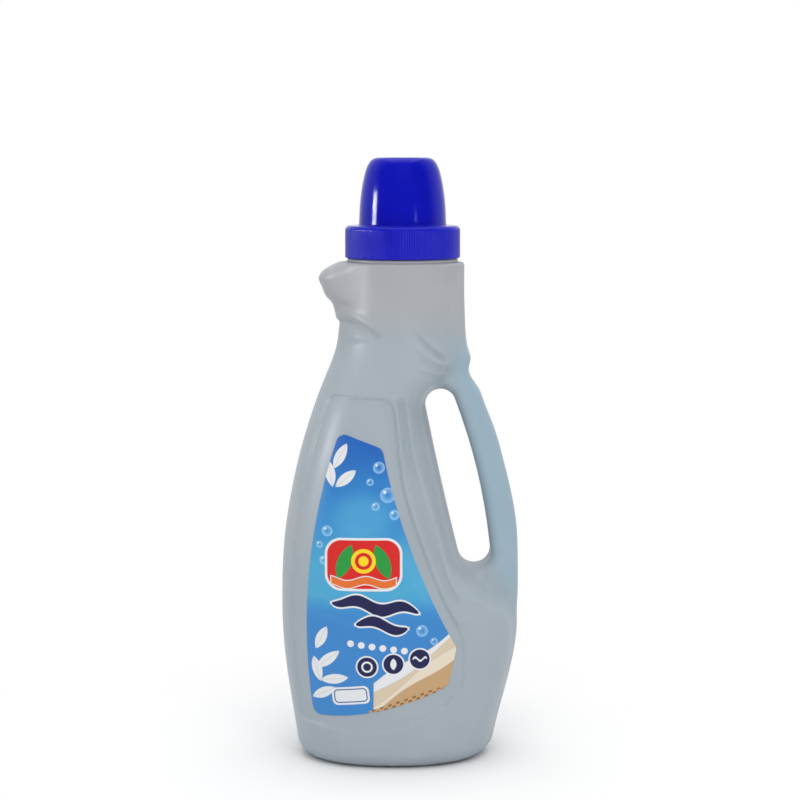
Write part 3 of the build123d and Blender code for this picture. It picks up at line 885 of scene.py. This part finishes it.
# The sign: a red plate with a yellow ring, two green leaves and an orange wave under them.
ex, ez = -16.5, 97.0
ink = p.paint(ink, WHITE, p.bar(ex, ez, 17.6, 12.2, 7.5))
ink = p.paint(ink, RED, p.bar(ex, ez, 16.5, 11.1, 6.6))
ink = p.paint(ink, GREEN, p.leaf(ex - 8.6, ez + 1.2, 17, 6.6, 68))
ink = p.paint(ink, GREEN, p.leaf(ex + 8.6, ez + 1.2, 17, 6.6, 112))
ink = p.paint(ink, YELLOW, p.disc(ex, ez + 1.6, 5.6))
ink = p.paint(ink, RED, p.disc(ex, ez + 1.6, 3.9))
ink = p.paint(ink, YELLOW, p.disc(ex, ez + 1.6, 2.3))
ribbon = abs(p.wave(ez - 8.2, 0.0, 1.0, 17, 1.0)).most(abs(p.x - ex) - 13) - 1.9
ink = p.paint(ink, ORANGE, ribbon)
ink = p.paint(ink, WHITE, abs(ribbon) - 0.22)
# Two navy brush strokes with white borders, and a row of white beads.
for height, left, right, thick in ((76.5, -31.0, 8.5, 2.9), (68.0, -20.0, 3.5, 2.5)):
    middle, half = (left + right) / 2, (right - left) / 2
    taper = (1 - ((p.x - middle) / half) ** 2).most(0) ** 0.5
    stroke = abs(p.wave(height, -0.12, 1.5, 21, height)) - taper * thick
    stroke = stroke.most(abs(p.x - middle) - half)
    ink = p.paint(ink, WHITE, stroke - 0.8)
    ink = p.paint(ink, NAVY, stroke)
for i in range(6):
    ink = p.paint(ink, WHITE, p.disc(-22.5 + 4.9 * i, 60.2 - 0.6 * i, 1.55))
# Three navy discs with white borders, each with a small white sign in it.
for x, z in ((-15.0, 49.5), (-3.0, 51.0), (9.0, 53.4)):
    ink = p.paint(ink, WHITE, p.disc(x, z, 5.2))
    ink = p.paint(ink, NAVY, p.disc(x, z, 4.5))
ink = p.paint(ink, WHITE, abs(p.disc(-15.0, 49.5, 2.2)) - 0.42)
ink = p.paint(ink, WHITE, p.leaf(-3.0, 51.0, 5.4, 2.8, 90))
ink = p.paint(ink, WHITE, (abs(p.wave(53.4, 0, 0.8, 4.6, -1.6)) - 0.5).most(p.disc(9.0, 53.4, 3.2)))
# A blank white plate with a thin blue border line.
ink = p.paint(ink, WHITE, p.bar(-22.5, 35.6, 8.6, 4.2, 2.4, 7))
ink = p.paint(ink, srgb(70, 96, 160), abs(p.bar(-22.5, 35.6, 7.4, 3.0, 1.6, 7)) - 0.28)
film_finish(p, ink)
front_label.data.materials.append(p.material)

back_look = Print("back_label_print", 0.34, IOR=1.49, Specular_IOR_Level=0.3)
p = back_look
ink = print_background(p)
# Two pale plates with bars where such a label has its text, and a row of navy rings between them.
ink = p.paint(ink, PLATE, p.bar(-12.5, 98, 17.5, 19, 3.5, 0))
for i in range(7):
    indent = i % 3
    ink = p.paint(ink, LINE_BLUE, p.bar(-12.5 - indent, 112 - 4.6 * i, 13.5 - indent, 0.7, 0.5))
for i in range(4):
    ink = p.paint(ink, NAVY, p.disc(-27 + 11.5 * i, 68 - i, 4.3))
    ink = p.paint(ink, WHITE, abs(p.disc(-27 + 11.5 * i, 68 - i, 2.3)) - 0.4)
ink = p.paint(ink, PLATE, p.bar(-10, 47, 24, 10, 3, 5))
for i in range(4):
    ink = p.paint(ink, LINE_BLUE, p.bar(-11, 53 - 4 * i, 19 - 2 * i, 0.6, 0.5, 5))
for x, z, radius in ((-22, 146, 3.0), (-15, 140, 1.8), (-24, 135, 2.2), (-12, 131, 2.8),
                     (-31, 126, 1.8)):
    ink = bubble(p, ink, x, z, radius)
film_finish(p, ink)
back_label.data.materials.append(p.material)

# ------------------------------------------------------------------------------------ pieces
for piece, body, node, slot in (
    (bottle, "bottle_body", "bottle", "bottle_plastic"),
    (front_label, "bottle_body", "front_label", "front_label_film"),
    (back_label, "bottle_body", "back_label", "back_label_film"),
    (liquid, "bottle_body", "detergent", "detergent_liquid"),
    (cap, "cap_body", "cap", "cap_plastic"),
):
    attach(piece, body)
    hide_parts(node)

# ------------------------------------------------------------------------------------ studio
def look_at(o, place, target):
    """Puts a camera or lamp in its place, facing a target."""
    o.location = Vector(place)
    o.rotation_euler = (Vector(target) - Vector(place)).to_track_quat("-Z", "Y").to_euler()
    bpy.context.scene.collection.objects.link(o)
    return o


camera_data = bpy.data.cameras.new("camera")
camera_data.lens = 97.08
camera_data.sensor_width = 36.0
camera_data.clip_start = 0.01
camera = bpy.data.objects.new("camera", camera_data)
bpy.context.scene.camera = look_at(camera, (0, -1.0, 0.280), (0, 0, 0.1675))


def softbox(name, place, target, width, height, watts):
    """A soft rectangular lamp that the camera does not see."""
    lamp = bpy.data.lights.new(name, "AREA")
    lamp.shape = "RECTANGLE"
    lamp.size, lamp.size_y, lamp.energy = width, height, watts
    o = look_at(bpy.data.objects.new(name, lamp), place, target)
    o.visible_camera = False
    return o


# The two strips show only in reflections, and the front fill never does.
softbox("key_strip", (-1.15, -0.20, 0.385), (0, 0, 0.27), 0.25, 0.21, 9.0).visible_diffuse = False
softbox("front_fill", (0.15, -1.5, 1.7), (0, 0, 0.14), 1.5, 1.3, 15.0).visible_glossy = False
softbox("right_strip", (0.80, -1.15, 0.25), (0, 0, 0.24), 0.06, 0.10, 1.1).visible_diffuse = False
softbox("top", (0, 0.1, 1.9), (0, 0, 0.1), 1.6, 1.6, 12.0)

def ray(tree, *kinds):
    """1 for rays of these kinds, such as Camera, and 0 for others."""
    outputs = tree.nodes.new("ShaderNodeLightPath").outputs
    first, *others = [Value(tree, outputs[f"Is {kind} Ray"]) for kind in kinds]
    for other in others:
        first = first.most(other)
    return first


# The background is white to the camera, behind glass and in reflections. Reflections from the side
# where the camera stands are darker, as in a studio. On surfaces it gives ROOM_LIGHT.
ROOM_LIGHT, STUDIO_SIDE = 0.6, 0.15
world = bpy.data.worlds.new("studio")
bpy.context.scene.world = world
world.use_nodes = True
sky = world.node_tree
room = sky.nodes["Background"]
room.inputs["Color"].default_value = (1, 1, 1, 1)
ahead = sky.nodes.new("ShaderNodeSeparateXYZ")
sky.links.new(sky.nodes.new("ShaderNodeTexCoord").outputs["Generated"], ahead.inputs[0])
behind = Value(sky, ahead.outputs["Y"]).between(-0.35, 0.25)
mirrored = ray(sky, "Glossy") * (behind * (1 - STUDIO_SIDE) + STUDIO_SIDE)
lit = ROOM_LIGHT * (ray(sky, "Glossy") * -1 + 1)
white = ray(sky, "Camera", "Transmission").most(mirrored)
sky.links.new(white.most(lit).socket, room.inputs["Strength"])

FLOOR_RADII, FLOOR_SEGMENTS = (0.12, 0.3, 0.7, 1.6, 4.0), 96
floor_points, floor_faces = [(0, 0, 0)], []
for radius in FLOOR_RADII:
    for j in range(FLOOR_SEGMENTS):
        a = 2 * math.pi * j / FLOOR_SEGMENTS
        floor_points.append((radius * math.cos(a), radius * math.sin(a), 0))
for j in range(FLOOR_SEGMENTS):
    k = (j + 1) % FLOOR_SEGMENTS
    floor_faces.append((0, 1 + j, 1 + k))
    for i in range(len(FLOOR_RADII) - 1):
        near, away = 1 + i * FLOOR_SEGMENTS, 1 + (i + 1) * FLOOR_SEGMENTS
        floor_faces.append((near + j, away + j, away + k, near + k))
floor_mesh = bpy.data.meshes.new("floor")
floor_mesh.from_pydata(floor_points, [], floor_faces)
floor = bpy.data.objects.new("floor", floor_mesh)
floor.location.z = -0.0002
bpy.context.scene.collection.objects.link(floor)

# Near the bottle the floor is plain and takes its shadow; further off it turns into the background.
floor_look = bpy.data.materials.new("pale_floor")
floor_look.use_nodes = True
tree = floor_look.node_tree
tree.nodes.clear()
matt = tree.nodes.new("ShaderNodeBsdfDiffuse")
matt.inputs["Color"].default_value = (0.97, 0.97, 0.97, 1)
glow = tree.nodes.new("ShaderNodeEmission")
both = tree.nodes.new("ShaderNodeMixShader")
length = tree.nodes.new("ShaderNodeVectorMath")
length.operation = "LENGTH"
tree.links.new(tree.nodes.new("ShaderNodeTexCoord").outputs["Object"], length.inputs[0])
far = Value(tree, length.outputs["Value"]).between(0.05, 0.24)
tree.links.new((ray(tree, "Camera", "Glossy", "Transmission") * far).socket, both.inputs[0])
tree.links.new(matt.outputs[0], both.inputs[1])
tree.links.new(glow.outputs[0], both.inputs[2])
output = tree.nodes.new("ShaderNodeOutputMaterial")
tree.links.new(both.outputs[0], output.inputs["Surface"])
floor_mesh.materials.append(floor_look)

bpy.context.scene.view_settings.view_transform = "Standard"
